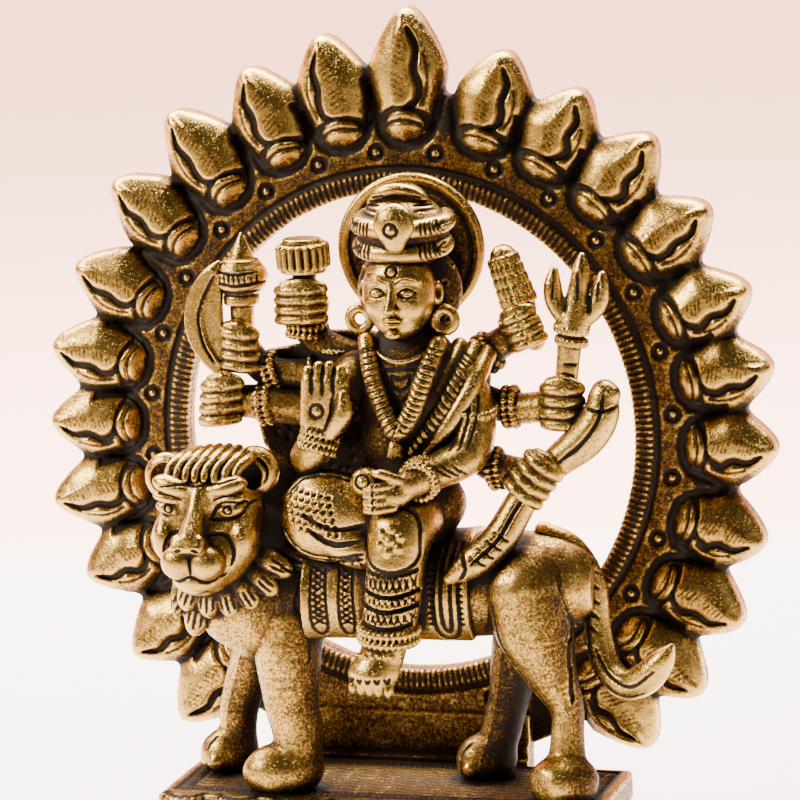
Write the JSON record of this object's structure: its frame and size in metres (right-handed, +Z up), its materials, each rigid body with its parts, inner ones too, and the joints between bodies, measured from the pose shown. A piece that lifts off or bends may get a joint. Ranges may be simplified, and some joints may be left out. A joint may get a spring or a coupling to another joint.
{
  "type": "seated goddess on lion statuette",
  "caption": "Cast brass statuette of an eight-armed goddess seated on a standing lion, on a hollow pedestal, framed by an oval aureole of pointed petals.",
  "frame": {"origin": "bottom centre of the whole statuette's box, on the surface that it stands on", "axes": "+Z up, the figure faces -Y, +X to the viewer's right"},
  "size_m": [0.14, 0.0474, 0.1558],
  "materials": {
    "pedestal_brass": "antique cast brass, black patina in the recesses, rubbed top edges",
    "aureole_brass": "antique cast brass, dark band, polished petals",
    "lion_brass": "antique cast brass, polished swellings, dark chased lines",
    "saddle_brass": "antique cast brass with chased panels",
    "figure_brass": "antique cast brass, polished swellings, dark folds",
    "ornament_brass": "antique cast brass with ribbed and punched lines",
    "arm_brass": "antique cast brass with ribbed bangles",
    "attribute_brass": "antique cast brass, polished",
    "pin_brass": "plain brass rod",
    "steel_screws": "plain pan-head screws"
  },
  "bodies": {
    "root": {"arm_blessing": "arm_brass", "arm_bow": "arm_brass", "arm_club": "arm_brass", "arm_discus": "arm_brass", "arm_fruit": "arm_brass", "arm_mace": "arm_brass", "arm_sword": "arm_brass", "arm_trident": "arm_brass", "aureole_band": "aureole_brass", "aureole_rope_rim": "aureole_brass", "aureole_screw_left": "steel_screws", "aureole_screw_right": "steel_screws", "bow": "attribute_brass", "club": "attribute_brass", "crown_jewel": "ornament_brass", "discus": "attribute_brass", "earring_left": "ornament_brass", "earring_right": "ornament_brass", "folded_leg": "figure_brass", "fruit": "attribute_brass", "garland": "ornament_brass", "goddess_head": "figure_brass", "goddess_torso": "figure_brass", "halo_disc": "ornament_brass", "hanging_leg": "figure_brass", "lion_body": "lion_brass", "lion_foreleg_far": "lion_brass", "lion_foreleg_near": "lion_brass", "lion_head": "lion_brass", "lion_hindleg_far": "lion_brass", "lion_hindleg_near": "lion_brass", "lion_mane": "lion_brass", "lion_tail": "lion_brass", "lotus_pendant": "ornament_brass", "mace": "attribute_brass", "paw_screw_far_front": "steel_screws", "paw_screw_far_hind": "steel_screws", "paw_screw_near_front": "steel_screws", "paw_screw_near_hind": "steel_screws", "pedestal": "pedestal_brass", "saddle_cloth": "saddle_brass", "seat_pin": "pin_brass", "shoulder_sash": "ornament_brass", "sword": "attribute_brass", "trident": "attribute_brass", "turban_crown": "ornament_brass"}
  },
  "joints": []
}
